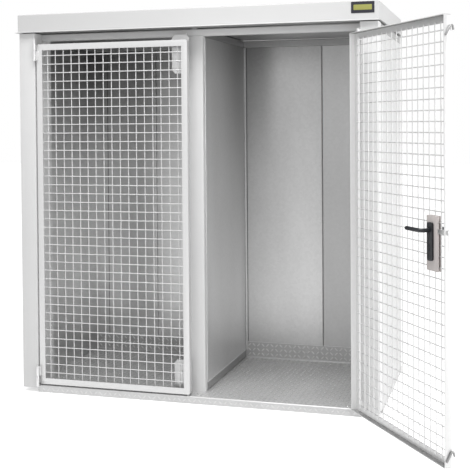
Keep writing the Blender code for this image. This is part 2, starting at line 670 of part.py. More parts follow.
def make_levers(spindle, outside_y, inside_y):
    """Two lever handles on one spindle, both turning about the spindle's line."""
    elbow = LEVER_ELBOW
    for name, face, out in (("lever_inside", inside_y + CONTACT, 1),
                            ("lever_outside", outside_y - CONTACT, -1)):
        far = face + out * LEVER_OUT
        points = [(0.0, face, 0.0), (0.0, far - out * elbow, 0.0)]
        for step in range(1, 5):
            angle = math.pi / 2 * step / 4
            points.append((elbow * (1 - math.cos(angle)), far - out * elbow * (1 - math.sin(angle)), 0.0))
        points.append((LEVER_LENGTH, far, 0.0))
        new_object(name, rod_mesh(name, points, LEVER_R), BLACK, PARTS, spindle)
    bar = cylinder_mesh("spindle", (0.0, outside_y, 0.0), (0.0, inside_y, 0.0), SPINDLE_R, 16)
    new_object("spindle", bar, ZINC, PARTS, spindle)


def make_hooks(hinge):
    """Bars bent to a hook on the free edge of the right door, near its top and its foot."""
    x = -(FREE_EDGE + CONTACT + HOOK_R)
    root = REAR_FACE - HOOK_INSET
    knee = root - HOOK_RUN
    for name, foot in (("right_door_lower_hook", DOOR_FOOT + HOOK_FROM_FOOT),
                       ("right_door_upper_hook", DOOR_TOP - HOOK_FROM_TOP)):
        peak = foot + HOOK_RISE
        line = rounded(((root, foot), (knee, peak), (knee - HOOK_TIP, peak - HOOK_DROP)), HOOK_BEND, False)
        new_object(name, rod_mesh(name, [(x, y, z) for y, z in line], HOOK_R), ZINC, PARTS, hinge)


def new_empty(name, at, turn, parent=None):
    empty = bpy.data.objects.new(name, None)
    PARTS.objects.link(empty)
    empty.location = at
    empty.rotation_euler = (0.0, 0.0, math.radians(turn))
    empty.parent = parent
    return empty


for old in list(bpy.data.objects):
    bpy.data.objects.remove(old)
PARTS = bpy.data.collections.new("gas_cylinder_container")
CUTTERS = bpy.data.collections.new("cutters")
bpy.context.scene.collection.children.link(PARTS)
bpy.context.scene.collection.children.link(CUTTERS)

make_base()
make_posts()
make_walls()
make_roof()
left_hinge = new_empty("left_door_hinge_line", (-PIVOT_X, PIVOT_Y, 0.0), 0.0)
right_hinge = new_empty("right_door_hinge_line", (PIVOT_X, PIVOT_Y, 0.0), RIGHT_DOOR_OPEN)
make_door("left_door", -1, left_hinge)
right_frame = make_door("right_door", 1, right_hinge)
make_hinges("left_door", -1, left_hinge)
make_hinges("right_door", 1, right_hinge)
make_edge_bolts(left_hinge)
spindle_x, lever_outside_y, lever_inside_y = make_lock(right_frame, right_hinge)
spindle_line = new_empty("lever_line", (spindle_x, 0.0, LEVER_HEIGHT), 0.0, right_hinge)
make_levers(spindle_line, lever_outside_y, lever_inside_y)
make_hooks(right_hinge)
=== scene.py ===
"""Looks of the two-bay gas cylinder container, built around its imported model."""

import math

import bmesh
import bpy
from mathutils import Matrix, Vector


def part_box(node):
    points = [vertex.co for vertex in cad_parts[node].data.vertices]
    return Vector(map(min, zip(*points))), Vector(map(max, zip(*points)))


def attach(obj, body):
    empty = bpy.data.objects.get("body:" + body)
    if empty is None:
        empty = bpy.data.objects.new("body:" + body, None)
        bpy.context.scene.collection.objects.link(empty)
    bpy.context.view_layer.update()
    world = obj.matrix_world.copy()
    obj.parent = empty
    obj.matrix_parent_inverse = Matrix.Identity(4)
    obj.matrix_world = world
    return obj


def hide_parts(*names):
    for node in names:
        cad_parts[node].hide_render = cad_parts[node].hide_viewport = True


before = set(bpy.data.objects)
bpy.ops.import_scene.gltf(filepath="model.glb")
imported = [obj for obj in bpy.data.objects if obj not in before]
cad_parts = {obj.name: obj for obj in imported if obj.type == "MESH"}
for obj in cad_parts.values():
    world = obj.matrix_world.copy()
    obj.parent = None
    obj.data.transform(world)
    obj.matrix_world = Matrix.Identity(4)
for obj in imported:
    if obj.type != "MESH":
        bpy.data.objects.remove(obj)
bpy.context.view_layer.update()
scene = bpy.context.scene

# Camera. It stands about five metres in front, right of the middle and at eye height, and is
# turned to the left. The lens is shifted down instead of tilted, so the posts stay upright.
CAMERA_AT = (1.7315, -5.546, 1.562)
CAMERA_YAW = math.radians(16.243)
CAMERA_PITCH = math.radians(-1.19)
CAMERA_ROLL = math.radians(-0.423)
LENS_MM = 73.41
SENSOR_MM = 36.0
SHIFT_DOWN = 0.1934

forward = Vector((-math.sin(CAMERA_YAW) * math.cos(CAMERA_PITCH),
                  math.cos(CAMERA_YAW) * math.cos(CAMERA_PITCH), math.sin(CAMERA_PITCH)))
level_right = Vector((math.cos(CAMERA_YAW), math.sin(CAMERA_YAW), 0.0))
level_up = level_right.cross(forward)
right = level_right * math.cos(CAMERA_ROLL) + level_up * math.sin(CAMERA_ROLL)
up = level_up * math.cos(CAMERA_ROLL) - level_right * math.sin(CAMERA_ROLL)
camera_data = bpy.data.cameras.new("camera")
camera_data.lens = LENS_MM
camera_data.sensor_width = SENSOR_MM
camera_data.shift_y = -SHIFT_DOWN
camera = bpy.data.objects.new("camera", camera_data)
scene.collection.objects.link(camera)
camera.matrix_world = (Matrix.Translation(CAMERA_AT)
                       @ Matrix((right, up, -forward)).transposed().to_4x4())
scene.camera = camera
scene.view_settings.view_transform = "Standard"


# Studio. A pale seamless floor under a plain white room: the room is white where the camera or
# a gloss sees it, and a softer grey as light. Large soft boxes light the front.
ROOM_LIGHT = 0.62
WHITE = "#ffffff"
FLOOR_GREY = "#e6e6e6"
FLOOR_ROUGHNESS = 0.9
FLOOR_GLOW = 0.60
FLOOR_HALF = 30.0


def srgb(code):
    """The linear colour of an sRGB hex value, by the curve of the sRGB standard."""
    linear = []
    for start in (1, 3, 5):
        part = int(code[start:start + 2], 16) / 255
        linear.append(part / 12.92 if part <= 0.04045 else ((part + 0.055) / 1.055) ** 2.4)
    return (*linear, 1.0)


def add_node(tree, kind, inputs=None, **settings):
    """A node with its settings. An input takes a value, or an output of another node."""
    node = tree.nodes.new(kind)
    for name, value in settings.items():
        setattr(node, name, value)
    for socket, value in (inputs or {}).items():
        if isinstance(value, bpy.types.NodeSocket):
            tree.links.new(value, node.inputs[socket])
        else:
            node.inputs[socket].default_value = value
    return node


def new_material(name, sockets):
    """A material whose shader has these constants, with its tree and its shader."""
    material = bpy.data.materials.new(name)
    material.use_nodes = True
    shader = material.node_tree.nodes["Principled BSDF"]
    for socket, value in sockets.items():
        shader.inputs[socket].default_value = value
    return material, material.node_tree, shader


def seen_directly(tree):
    """1 for rays from the camera, a gloss or a glass, and 0 for rays that carry light."""
    path = add_node(tree, "ShaderNodeLightPath")
    seen = path.outputs["Is Camera Ray"]
    for kind in ("Is Glossy Ray", "Is Transmission Ray"):
        seen = add_node(tree, "ShaderNodeMath", {0: seen, 1: path.outputs[kind]},
                        operation="MAXIMUM").outputs[0]
    return seen


def add_soft_box(name, at, towards, width, height, watts):
    """A rectangular lamp that faces a point."""
    data = bpy.data.lights.new(name, "AREA")
    data.shape = "RECTANGLE"
    data.size = width
    data.size_y = height
    data.energy = watts
    lamp = bpy.data.objects.new(name, data)
    scene.collection.objects.link(lamp)
    lamp.location = at
    lamp.rotation_euler = (Vector(towards) - Vector(at)).to_track_quat("-Z", "Y").to_euler()


room = bpy.data.worlds.new("white_room")
room.use_nodes = True
scene.world = room
room_tree = room.node_tree
room_background = room_tree.nodes["Background"]
room_strength = add_node(room_tree, "ShaderNodeMapRange",
                         {"Value": seen_directly(room_tree), "To Min": ROOM_LIGHT, "To Max": 1.0})
room_background.inputs["Color"].default_value = srgb(WHITE)
room_tree.links.new(room_strength.outputs[0], room_background.inputs["Strength"])

# Matt paper of a studio sweep: it glows a little where it is looked at, so it ends in white.
floor_material, floor_tree, floor_shader = new_material("studio_floor", {
    "Base Color": srgb(FLOOR_GREY), "Roughness": FLOOR_ROUGHNESS, "Emission Color": srgb(WHITE)})
floor_glow = add_node(floor_tree, "ShaderNodeMath",
                      {0: seen_directly(floor_tree), 1: FLOOR_GLOW}, operation="MULTIPLY")
floor_tree.links.new(floor_glow.outputs[0], floor_shader.inputs["Emission Strength"])
floor_mesh = bpy.data.meshes.new("studio_floor")
floor_corners = [(x * FLOOR_HALF, y * FLOOR_HALF, 0.0)
                 for x, y in ((-1, -1), (1, -1), (1, 1), (-1, 1))]
floor_mesh.from_pydata(floor_corners, [], [(0, 1, 2, 3)])
floor_mesh.materials.append(floor_material)
studio_floor = bpy.data.objects.new("studio_floor", floor_mesh)
scene.collection.objects.link(studio_floor)

add_soft_box("soft_box_right", at=(5.4, -0.9, 1.8), towards=(1.0, 0.0, 1.0),
             width=3.0, height=3.0, watts=106.0)
add_soft_box("soft_box_front_right", at=(4.2, -5.0, 2.4), towards=(0.2, 0.0, 1.0),
             width=2.4, height=2.4, watts=14.0)
add_soft_box("soft_box_over", at=(0.3, -2.2, 5.2), towards=(0.2, -0.3, 0.5),
             width=3.0, height=1.7, watts=143.0)


# Base. Rails folded from galvanised sheet lie under the walls and the partition and carry
# everything else; the zinc is matt, with a faint spangle and cloudy patches.
SPANGLE_MM = 14.0
SPANGLE_SHARE = 0.12
CLOUD_MM = 420.0
CLOUD_STRETCH = 0.3
# The crystals' own grain is finer than a millimetre. It is drawn coarser, so that it shows.
ZINC_GRAIN_MM = 3.85
ZINC_GRAIN_DEPTH = 0.0002
ZINC_GRAIN_STRENGTH = 0.12
ZINC_GLOSS_SWING = 0.05


def shade_between(tree, factor, dark, light):
    """Colours between two hex values, by a factor from 0 to 1."""
    return add_node(tree, "ShaderNodeMix", {0: factor, 6: srgb(dark), 7: srgb(light)},
                    data_type="RGBA").outputs[2]


def finish_surface(material, patches, roughness, swing, grain_mm, detail, depth, strength):
    """The gloss of a surface, which swings a little from patch to patch, and its fine grain."""
    tree = material.node_tree
    shader = tree.nodes["Principled BSDF"]
    gloss = add_node(tree, "ShaderNodeMapRange", {
        "Value": patches, "To Min": roughness + swing, "To Max": roughness - swing})
    tree.links.new(gloss.outputs[0], shader.inputs["Roughness"])
    place = add_node(tree, "ShaderNodeTexCoord").outputs["Object"]
    grain = add_node(tree, "ShaderNodeTexNoise", {
        "Vector": place, "Scale": 1000 / grain_mm, "Detail": detail})
    relief = add_node(tree, "ShaderNodeBump", {
        "Height": grain.outputs[0], "Distance": depth, "Strength": strength})
    tree.links.new(relief.outputs[0], shader.inputs["Normal"])


def zinc_sheet(name, dark, light, roughness, metallic):
    """Hot-dip galvanised steel: a faint spangle, patches drawn out upright and a fine grain."""
    material, tree, shader = new_material(name, {"Metallic": metallic})
    place = add_node(tree, "ShaderNodeTexCoord").outputs["Object"]
    cells = add_node(tree, "ShaderNodeTexVoronoi", {
        "Vector": place, "Scale": 1000 / SPANGLE_MM})
    cell_tone = add_node(tree, "ShaderNodeSeparateColor", {"Color": cells.outputs["Color"]})
    spangle = add_node(tree, "ShaderNodeMath", {0: cell_tone.outputs[0], 1: SPANGLE_SHARE},
                       operation="MULTIPLY")
    tall = add_node(tree, "ShaderNodeMapping", {
        "Vector": place, "Scale": (1.0, 1.0, CLOUD_STRETCH)})
    clouds = add_node(tree, "ShaderNodeTexNoise", {
        "Vector": tall.outputs[0], "Scale": 1000 / CLOUD_MM, "Detail": 3.0, "Roughness": 0.5})
    patches = add_node(tree, "ShaderNodeMath", {
        0: clouds.outputs[0], 1: 1 - SPANGLE_SHARE, 2: spangle.outputs[0]},
        operation="MULTIPLY_ADD").outputs[0]
    tree.links.new(shade_between(tree, patches, dark, light), shader.inputs["Base Color"])
    finish_surface(material, patches, roughness, ZINC_GLOSS_SWING, ZINC_GRAIN_MM, 2.0,
                   ZINC_GRAIN_DEPTH, ZINC_GRAIN_STRENGTH)
    return material


def dress(material, *names):
    """Gives CAD nodes their finish."""
    for name in names:
        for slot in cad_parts[name].material_slots:
            slot.material = material


# Galvanised steel: grey zinc that scatters most of the light and mirrors only broad shapes.
galvanised = zinc_sheet("galvanised_steel", "#989898", "#b8b8b8", 0.40, 0.55)
dress(galvanised, "base_rail_left", "base_rail_back", "floor_bearer")
# The right-hand rail and wall face the light: their zinc is more matt, and its paler tone is
# painted light.
outer_zinc = zinc_sheet("galvanised_sheet_of_the_side", "#c8c8c8", "#dcdcdc", 0.48, 0.25)
dress(outer_zinc, "base_rail_right")


# Floor. One sheet of galvanised tread plate, bent down in front and up along the rear wall.
# The teardrops are rolled into it, each a quarter turn from the next.
# LIP_MIDDLE and LIP_TEAR are shares: of the lip's height, and of a teardrop's length.
FLOOR_PITCH = 0.030
TEAR_LENGTH = 0.027
TEAR_WIDTH = 0.0085
TEAR_HEIGHT = 0.0018
TEAR_FLATS = 10
TEAR_TOP = 0.4
TEAR_SUNK = 0.0002
FLOOR_MARGIN = 0.018
FLOOR_SHEET = 0.003
SEAT_GAP = 0.0003
UPSTAND_ROWS = 3
UPSTAND_MIDDLE = 0.055
LIP_MIDDLE = 0.45
LIP_TEAR = 0.9
# Where posts, stops and the partition stand on the sheet: each as x0, y0, x1 and y1.
POST_FEET = ((-1.1, -0.52, -0.935, -0.385), (0.935, -0.52, 1.1, -0.385))
STOP_FEET = ((-0.96, -0.42, -0.90, -0.36), (0.90, -0.42, 0.96, -0.36))
PARTITION_FOOT = (-0.062, -0.42, 0.062, 0.5)
PARTITION_END = (-0.072, 0.3, 0.072, 0.5)
POSTS_OVER_LIP = ((-1.1, -0.6, -0.935, -0.4), (0.935, -0.6, 1.1, -0.4))
UPRIGHT = Matrix.Rotation(math.pi / 2, 4, "X")
# Inner faces lie in front of the middle of the rear wall and right of that of the left wall.
INNER_BACK_Y = 0.455
INNER_LEFT_X = -1.01
# Painted shade on inner faces is mixed towards UNLIT_GREY; on the floor it spans FLOOR_REACH in
# height and fades from the rear to the front by FLOOR_REAR.
UNLIT_GREY = "#2c2c2c"
FLOOR_REACH = (-0.6, 0.0)
FLOOR_REAR = ("Y", 0.30, -0.42, 0.0)


def paint_inner_shade(material, most, reach, corner=None):
    """Paints shade into a zinc on inner faces, a painted reflection of the dark of the bay, over a
    reach of heights. A corner narrows that: an axis, where the shade is fullest, where least,
    and what is left."""
    tree = material.node_tree
    colour = tree.nodes["Principled BSDF"].inputs["Base Color"]
    spot = add_node(tree, "ShaderNodeSeparateXYZ", {
        0: add_node(tree, "ShaderNodeTexCoord").outputs["Object"]})
    share = add_node(tree, "ShaderNodeMapRange", {
        "Value": spot.outputs["Z"], "From Min": reach[0], "From Max": reach[1], "To Max": most},
        interpolation_type="SMOOTHSTEP").outputs[0]
    masks = [add_node(tree, "ShaderNodeMath", {0: spot.outputs["Y"], 1: INNER_BACK_Y},
                      operation="LESS_THAN"),
             add_node(tree, "ShaderNodeMath", {0: spot.outputs["X"], 1: INNER_LEFT_X},
                      operation="GREATER_THAN")]
    if corner:
        axis, fullest, least, left_over = corner
        masks.append(add_node(tree, "ShaderNodeMapRange", {
            "Value": spot.outputs[axis], "From Min": fullest, "From Max": least,
            "To Min": 1.0, "To Max": left_over}, interpolation_type="SMOOTHSTEP"))
    for mask in masks:
        share = add_node(tree, "ShaderNodeMath", {0: share, 1: mask.outputs[0]},
                         operation="MULTIPLY").outputs[0]
    dimmed = add_node(tree, "ShaderNodeMix", {
        0: share, 6: colour.links[0].from_socket, 7: srgb(UNLIT_GREY)}, data_type="RGBA")
    tree.links.new(dimmed.outputs[2], colour)
    return material


# Galvanised tread plate: pale satin zinc, with painted shade at the rear, where it mirrors walls.
tread_zinc = paint_inner_shade(zinc_sheet("galvanised_tread_plate", "#c0c0c0", "#dedede", 0.42, 0.32),
                        0.24, FLOOR_REACH, FLOOR_REAR)
# The pattern on the two bends is not walked on: it keeps its zinc and stands out pale.
raised_zinc = zinc_sheet("raised_pattern_of_the_tread_plate", "#cecece", "#e6e6e6", 0.34, 0.40)
# Boots and cylinder feet polish the tops of the teardrops, so they catch small bright lights.
# At the rear they carry the same painted shade as the plate.
worn_and_shaded_zinc = paint_inner_shade(zinc_sheet("worn_and_shaded_tops_of_the_tread_plate", "#e2e2e2", "#f4f4f4", 0.26, 0.45),
                       0.20, FLOOR_REACH, FLOOR_REAR)
dress(tread_zinc, "floor_plate")


def grow(tree, **values):
    """The mesh that a Geometry Nodes tree makes with these inputs."""
    guide = bpy.data.objects.new(tree.name, bpy.data.meshes.new(tree.name))
    scene.collection.objects.link(guide)
    modifier = guide.modifiers.new(tree.name, "NODES")
    modifier.node_group = tree
    sockets = {item.name: item.identifier for item in tree.interface.items_tree
               if item.in_out == "INPUT"}
    for name, value in values.items():
        modifier[sockets[name.replace("_", " ")]] = value
    evaluated = guide.evaluated_get(bpy.context.evaluated_depsgraph_get())
    mesh = bpy.data.meshes.new_from_object(evaluated)
    bpy.data.objects.remove(guide)
    return mesh


def new_tree(name, **inputs):
    """A Geometry Nodes tree with named number inputs, and the node that gives them."""
    tree = bpy.data.node_groups.new(name, "GeometryNodeTree")
    for socket, value in inputs.items():
        kind = "NodeSocketInt" if isinstance(value, int) else "NodeSocketFloat"
        item = tree.interface.new_socket(socket.replace("_", " "), in_out="INPUT",
                                         socket_type=kind)
        item.default_value = value
    tree.interface.new_socket("Geometry", in_out="OUTPUT", socket_type="NodeSocketGeometry")
    return tree, tree.nodes.new("NodeGroupInput").outputs


def end_tree(tree, geometry, material):
    """Realises the instances, gives the mesh its material and ends the tree."""
    solid = add_node(tree, "GeometryNodeRealizeInstances", {0: geometry})
    coated = add_node(tree, "GeometryNodeSetMaterial", {
        "Geometry": solid.outputs[0], "Material": material})
    add_node(tree, "NodeGroupOutput", {0: coated.outputs[0]})


def grid_spans(tree, given):
    """How far a grid reaches from its first column and row to its last."""
    spans = []
    for count in ("Columns", "Rows"):
        gaps = add_node(tree, "ShaderNodeMath", {0: given[count], 1: 1.0}, operation="SUBTRACT")
        spans.append(add_node(tree, "ShaderNodeMath", {0: gaps.outputs[0], 1: given["Pitch"]},
                              operation="MULTIPLY").outputs[0])
    return spans


def add_piece(name, meshes, body, replaced=()):
    """One object at the origin from finished meshes, riding on a body."""
    builder = bmesh.new()
    for mesh in meshes:
        builder.from_mesh(mesh)
    joined = bpy.data.meshes.new(name)
    builder.to_mesh(joined)
    builder.free()
    for material in meshes[0].materials:
        joined.materials.append(material)
    piece = bpy.data.objects.new(name, joined)
    scene.collection.objects.link(piece)
    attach(piece, body)
    if replaced:
        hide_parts(*replaced)


def make_tear_tree():
    """A field of teardrops on a grid in the X-Y plane, every other one turned by a quarter."""
    tree, given = new_tree("teardrop_field", Columns=3, Rows=3, Pitch=FLOOR_PITCH,
                           Length=TEAR_LENGTH, Width=TEAR_WIDTH, Height=TEAR_HEIGHT)
    across, along = grid_spans(tree, given)
    grid = add_node(tree, "GeometryNodeMeshGrid", {
        "Size X": across, "Size Y": along,
        "Vertices X": given["Columns"], "Vertices Y": given["Rows"]})
    drop = add_node(tree, "GeometryNodeMeshCone", {
        "Vertices": TEAR_FLATS, "Radius Top": TEAR_TOP, "Radius Bottom": 1.0, "Depth": 1.0})
    half_length = add_node(tree, "ShaderNodeMath", {0: given["Length"], 1: 0.5},
                           operation="MULTIPLY")
    half_width = add_node(tree, "ShaderNodeMath", {0: given["Width"], 1: 0.5},
                          operation="MULTIPLY")
    size = add_node(tree, "ShaderNodeCombineXYZ", {
        0: half_length.outputs[0], 1: half_width.outputs[0], 2: given["Height"]})
    index = add_node(tree, "GeometryNodeInputIndex")
    parity = add_node(tree, "ShaderNodeMath", {0: index.outputs[0], 1: 2.0}, operation="MODULO")
    turn = add_node(tree, "ShaderNodeMath", {
        0: parity.outputs[0], 1: math.pi / 2, 2: -math.pi / 4}, operation="MULTIPLY_ADD")
    turned = add_node(tree, "ShaderNodeCombineXYZ", {2: turn.outputs[0]})
    drops = add_node(tree, "GeometryNodeInstanceOnPoints", {
        "Points": grid.outputs["Mesh"], "Instance": drop.outputs["Mesh"],
        "Rotation": turned.outputs[0], "Scale": size.outputs[0]})
    end_tree(tree, drops.outputs[0], worn_and_shaded_zinc)
    return tree


def clear_of(mesh, boxes):
    """Takes out the teardrops whose middle lies in one of the boxes, given in X and Y."""
    builder = bmesh.new()
    builder.from_mesh(mesh)
    waiting = set(builder.verts)
    gone = []
    while waiting:
        group = {waiting.pop()}
        fringe = list(group)
        while fringe:
            vert = fringe.pop()
            joined = {edge.other_vert(vert) for edge in vert.link_edges} & waiting
            waiting -= joined
            group |= joined
            fringe.extend(joined)
        middle = sum((vert.co for vert in group), Vector()) / len(group)
        if any(x0 < middle.x < x1 and y0 < middle.y < y1 for x0, y0, x1, y1 in boxes):
            gone.extend(group)
    bmesh.ops.delete(builder, geom=gone, context="VERTS")
    builder.to_mesh(mesh)
    builder.free()


tear_tree = make_tear_tree()
floor_low, floor_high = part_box("floor_plate")
floor_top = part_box("partition_base")[0].z - SEAT_GAP
floor_columns = int((floor_high.x - floor_low.x - 2 * FLOOR_MARGIN) / FLOOR_PITCH) + 1
floor_rows = int((floor_high.y - floor_low.y - 2 * FLOOR_MARGIN) / FLOOR_PITCH) // 2 * 2 + 1
tear_lift = TEAR_HEIGHT / 2 - TEAR_SUNK
flat_tears = grow(tear_tree, Columns=floor_columns, Rows=floor_rows)
flat_tears.transform(Matrix.Translation((0.0, (floor_low.y + floor_high.y) / 2,
                                         floor_top + tear_lift)))
clear_of(flat_tears, (*POST_FEET, *STOP_FEET, PARTITION_FOOT))
rear_tears = grow(tear_tree, Columns=floor_columns, Rows=UPSTAND_ROWS)
rear_tears.transform(Matrix.Translation((0.0, floor_high.y - FLOOR_SHEET - tear_lift,
                                         floor_top + UPSTAND_MIDDLE)) @ UPRIGHT)
clear_of(rear_tears, (PARTITION_END,))
front_tears = grow(tear_tree, Columns=floor_columns, Rows=1, Length=TEAR_LENGTH * LIP_TEAR)
front_tears.transform(Matrix.Translation((0.0, floor_low.y - tear_lift,
                                          floor_top * LIP_MIDDLE)) @ UPRIGHT)
clear_of(front_tears, POSTS_OVER_LIP)
add_piece("tread_teardrops", [flat_tears], "container")
for tears in (rear_tears, front_tears):
    tears.materials.clear()
    tears.materials.append(raised_zinc)
add_piece("upright_teardrops", [rear_tears, front_tears], "container")


# Studs. Two small steel studs with domed heads stand on the floor just inside the line of the
# doors, turned bright and riveted through the sheet.
STUDS = ((-0.030, -0.484), (0.872, -0.472))
STUD_R = 0.006
STUD_HEIGHT = 0.0045
STUD_SUNK = 0.0001
DOME_SEGMENTS = 24
DOME_RINGS = 12
DOME_SHARP = 40


def smooth_mesh(builder, name, material, sharp):
    """Ends a builder as a mesh of one material, smooth up to an angle in degrees."""
    mesh = bpy.data.meshes.new(name)
    builder.to_mesh(mesh)
    builder.free()
    mesh.materials.append(material)
    mesh.shade_smooth()
    mesh.set_sharp_from_angle(angle=math.radians(sharp))
    return mesh


def dome(radius, height, material):
    """A domed head with its foot at the origin, rising along +Z."""
    builder = bmesh.new()
    bmesh.ops.create_uvsphere(builder, u_segments=DOME_SEGMENTS, v_segments=DOME_RINGS, radius=1.0)
    under = [vert for vert in builder.verts if vert.co.z < -0.001]
    bmesh.ops.delete(builder, geom=under, context="VERTS")
    rim = [edge for edge in builder.edges if edge.is_boundary]
    bmesh.ops.contextual_create(builder, geom=rim)
    bmesh.ops.scale(builder, vec=(radius, radius, height), verts=builder.verts)
    return smooth_mesh(builder, "dome", material, DOME_SHARP)


# Bright turned steel: close to a mirror, so each head shows as one white point.
stud_steel = zinc_sheet("bright_stud_steel", "#e8e8e8", "#f4f4f4", 0.22, 0.75)
studs = []
for x, y in STUDS:
    stud = dome(STUD_R, STUD_HEIGHT, stud_steel)
    stud.transform(Matrix.Translation((x, y, floor_top - STUD_SUNK)))
    studs.append(stud)
add_piece("floor_studs", studs, "container")


# Frame. Two box section posts, the stops that the doors shut against, the centre post and the
# lintel, all folded from sheet and powder coated a pale grey, with the coat's faint orange peel.
DRIFT_MM = 625.0
# Orange peel is drawn a little coarser than it is, so that it shows.
PEEL_MM = 2.38
PEEL_DEPTH = 0.0003
PEEL_STRENGTH = 0.15
COAT_GLOSS_SWING = 0.06
COAT_SPECULAR = 0.45
MERGE_GAP = 0.00002
# In degrees: faces are joined within the first, edges broken over the second, and bends are
# smooth up to the third.
FLAT_WITHIN = 0.5
BROKEN_OVER = 50
SMOOTH_UP_TO = 38


def powder_coat(name, dark, light, roughness):
    """Powder coat on steel: broad drifts of tone, orange peel and a satin gloss."""
    material, tree, shader = new_material(name, {"Specular IOR Level": COAT_SPECULAR})
    place = add_node(tree, "ShaderNodeTexCoord").outputs["Object"]
    drift = add_node(tree, "ShaderNodeTexNoise", {
        "Vector": place, "Scale": 1000 / DRIFT_MM, "Detail": 4.0, "Roughness": 0.6}).outputs[0]
    tree.links.new(shade_between(tree, drift, dark, light), shader.inputs["Base Color"])
    finish_surface(material, drift, roughness, COAT_GLOSS_SWING, PEEL_MM, 1.0, PEEL_DEPTH,
                   PEEL_STRENGTH)
    return material


# Powder coated sheet: even and satin, a cool pale grey.
frame_coat = powder_coat("pale_grey_powder_coat", "#dadada", "#e6e6e6", 0.42)


def softened(name, width, material):
    """A copy of a CAD node with its triangles merged, its edges broken and its bends smooth."""
    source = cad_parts[name]
    builder = bmesh.new()
    builder.from_mesh(source.data)
    builder.transform(source.matrix_world)
    bmesh.ops.remove_doubles(builder, verts=builder.verts, dist=MERGE_GAP)
    bmesh.ops.dissolve_limit(builder, angle_limit=math.radians(FLAT_WITHIN),
                             verts=builder.verts, edges=builder.edges)
    if width:
        sharp = [edge for edge in builder.edges
                 if edge.is_manifold and edge.calc_face_angle() > math.radians(BROKEN_OVER)]
        bmesh.ops.bevel(builder, geom=sharp, offset=width, segments=2, affect="EDGES",
                        profile=0.5, clamp_overlap=True)
    return smooth_mesh(builder, name + "_soft", material, SMOOTH_UP_TO)


def replace_softened(names, width, material, body):
    """A smooth piece in place of each CAD node, under its own name with the word finished."""
    for name in names:
        add_piece(name + "_finished", [softened(name, width, material)], body, (name,))


replace_softened(("post_front_left", "post_front_right", "post_centre", "lintel",
                  "door_stop_left", "door_stop_right"), 0.0, frame_coat, "container")


# Walls. Cassettes, each folded from one galvanised sheet, stand side by side between the base
# and the head rails, and the seams between them show as thin dark lines.
# Each REACH runs from the height where the painted shade of inner faces starts to where it is
# full.
UPPER_REACH = (1.1, 2.1)
PARTITION_REACH = (-0.4, 2.2)
LOWER_REACH = (2.0, 0.5)

# Galvanised sheet of the corner strips: bright zinc that mirrors soft shapes, with painted shade
# at the top.
wall_zinc = paint_inner_shade(zinc_sheet("galvanised_wall_sheet", "#aaaaaa", "#dadada", 0.30, 0.74),
                       0.10, UPPER_REACH)
dress(wall_zinc, "corner_strip_left", "corner_strip_right")
# The left bay's sheets are paler, and painted shade darkens them upwards and into the rear
# corner.
inner_zinc = paint_inner_shade(
    zinc_sheet("galvanised_sheet_of_the_left_bay", "#bcbcbc", "#eaeaea", 0.30, 0.72),
    0.56, UPPER_REACH)
dress(inner_zinc, "back_panel_mid_left")
rear_corner_zinc = paint_inner_shade(
    zinc_sheet("galvanised_sheet_in_the_rear_corner", "#bcbcbc", "#eaeaea", 0.30, 0.72),
    0.74, UPPER_REACH, ("X", -0.96, -0.82, 0.78))
dress(rear_corner_zinc, "back_panel_left")
left_side_zinc = paint_inner_shade(
    zinc_sheet("galvanised_sheet_of_the_left_side", "#bcbcbc", "#eaeaea", 0.30, 0.72),
    0.74, UPPER_REACH, ("Y", 0.40, 0.08, 0.62))
dress(left_side_zinc, "side_panel_left")
# Beside the partition the zinc mirrors it: a painted reflection and shade make it darkest close
# to it and near the ceiling.
corner_zinc = paint_inner_shade(
    zinc_sheet("galvanised_sheet_beside_the_partition", "#a8a8a8", "#d8d8d8", 0.30, 0.72),
    0.44, UPPER_REACH, ("X", 0.16, 0.30, 0.15))
dress(corner_zinc, "back_panel_mid_right")
# The partition is the palest sheet, and painted shade darkens it evenly towards the rear and the
# top.
partition_zinc = paint_inner_shade(
    zinc_sheet("galvanised_sheet_of_the_partition", "#d2d2d2", "#f4f4f4", 0.30, 0.68),
    0.62, PARTITION_REACH, ("Y", 0.40, -0.34, 0.18))
dress(partition_zinc, "partition")
# The right-hand cassette comes from a duller coil, less of a mirror; painted shade makes it
# darker low down.
duller_zinc_with_painted_shade = paint_inner_shade(
    zinc_sheet("duller_galvanised_wall_sheet_with_painted_shade", "#c6c6c6", "#e8e8e8", 0.40, 0.46),
    0.26, LOWER_REACH)
dress(duller_zinc_with_painted_shade, "back_panel_right")
dress(outer_zinc, "side_panel_right")
dress(galvanised, "partition_base", "head_rail_back", "head_rail_left", "head_rail_right",
      "head_rail_centre", "ceiling")


# Hems. The partition stands on its base with a folded hem on both sides, and a strip lies on the
# top edge of the floor's upstand behind it; their pale zinc is a painted highlight.
HEM = 0.0030
EDGE_SHORT = 0.002
EDGE_FRONT = 0.0032
EDGE_FOOT = 0.0025
EDGE_TOP = 0.0001
STRIP_ROUNDING = 0.3
STRIP_SHARP = 40
# Pale, half bright zinc: a painted highlight, so each edge shows as a thin light line.
edge_highlight_zinc = zinc_sheet("painted_highlight_on_hems_and_edges", "#e0e0e0", "#f0f0f0", 0.34, 0.45)


def strip(low, high, material):
    """A slim strip with rounded edges between two corners."""
    low, high = Vector(low), Vector(high)
    size = high - low
    builder = bmesh.new()
    bmesh.ops.create_cube(builder, size=1.0)
    bmesh.ops.scale(builder, vec=size, verts=builder.verts)
    bmesh.ops.bevel(builder, geom=builder.edges[:], offset=min(size) * STRIP_ROUNDING,
                    segments=2, affect="EDGES", profile=0.5)
    bmesh.ops.translate(builder, vec=(low + high) / 2, verts=builder.verts)
    return smooth_mesh(builder, "strip", material, STRIP_SHARP)


